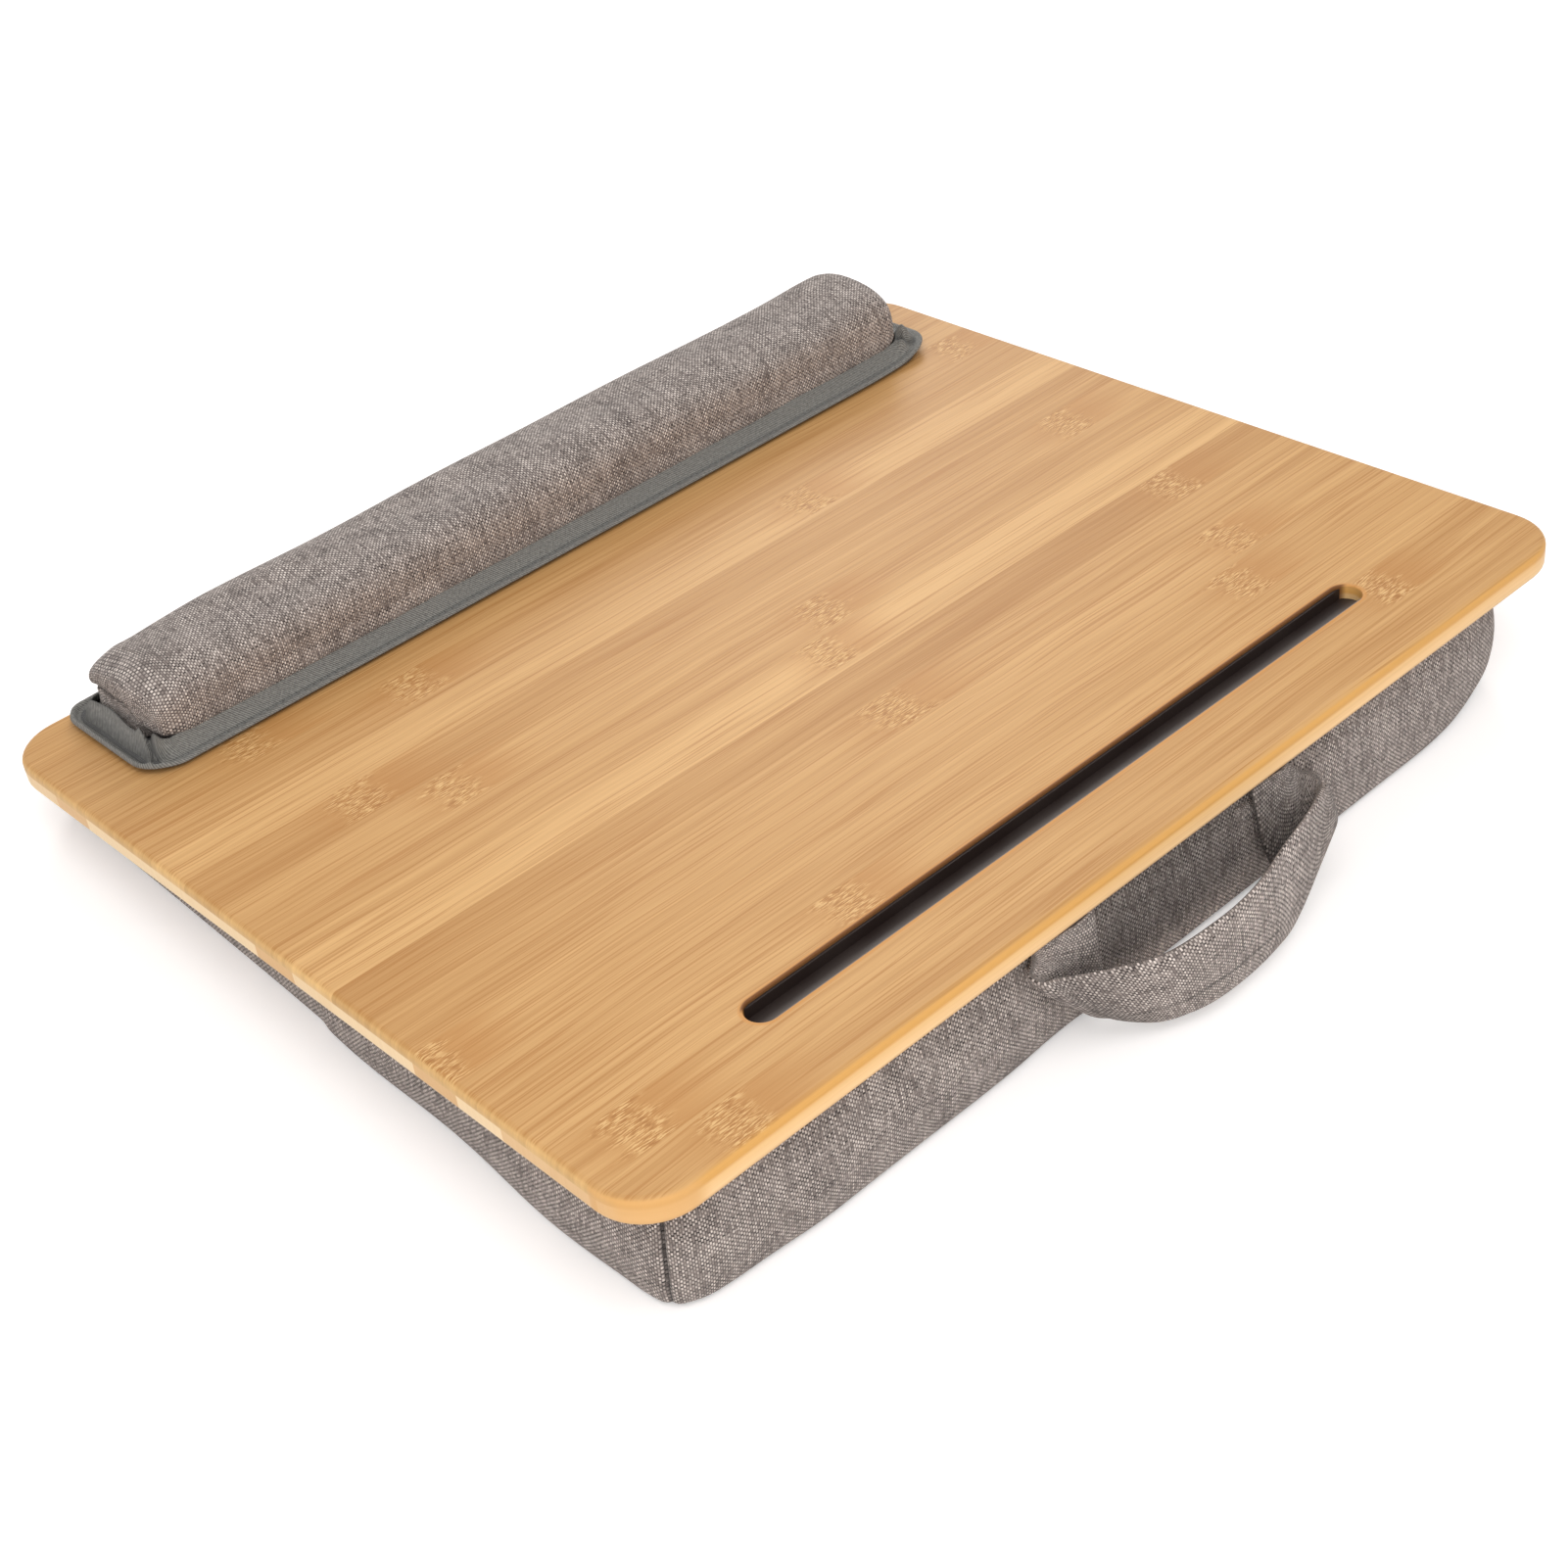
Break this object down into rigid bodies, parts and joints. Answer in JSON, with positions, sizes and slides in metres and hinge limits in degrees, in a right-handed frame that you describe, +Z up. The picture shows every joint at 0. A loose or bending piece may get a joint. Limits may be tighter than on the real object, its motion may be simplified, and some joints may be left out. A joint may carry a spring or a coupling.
{
  "type": "lap tray with cushion",
  "caption": "Bamboo lap tray with a tablet slot, a padded wrist rest, a wedge cushion underneath and a fabric carrying strap.",
  "frame": {"origin": "middle of the cushion's underside, on the surface it lies on", "axes": "+Z up, +X to the user's right, +Y away from the user, from the wrist rest towards the tablet slot and the strap"},
  "size_m": [0.45, 0.3896, 0.0705],
  "materials": {
    "bamboo": "satin clear lacquer",
    "liner": "matte",
    "closure": "hook-and-loop pile",
    "foam": "open-cell foam",
    "melange": "woven grey-taupe melange",
    "webbing": "woven webbing",
    "tape": "ribbed grosgrain"
  },
  "bodies": {
    "cushion": {"cushion_foam": "foam", "cushion_bottom": "melange", "cushion_top": "melange", "cushion_rear_wall": "melange", "cushion_front_wall": "melange", "cushion_left_wall": "melange", "cushion_right_wall": "melange", "cushion_hook_strips": "closure", "handle_tabs": "melange"},
    "board": {"bamboo_board": "bamboo", "slot_liner": "liner", "board_loop_strips": "closure", "rest_loop_strips": "closure"},
    "wrist_rest": {"rest_foam": "foam", "rest_cover": "melange", "rest_base": "melange", "rest_binding": "tape", "rest_hook_strips": "closure"},
    "handle": {"handle_sleeve": "melange", "handle_webbing": "webbing"}
  },
  "joints": [
    {"name": "board_lift", "type": "slide", "parent": "cushion", "child": "board", "axis": [0, -0.0785, 0.9969], "range_m": [0, 0.08]},
    {"name": "rest_lift", "type": "slide", "parent": "board", "child": "wrist_rest", "axis": [0, -0.0785, 0.9969], "range_m": [0, 0.06]},
    {"name": "handle_swing", "type": "hinge", "parent": "cushion", "child": "handle", "pos_m": [0, 0.1803, 0.045], "axis": [1, 0, 0], "range_deg": [0, 60]}
  ]
}
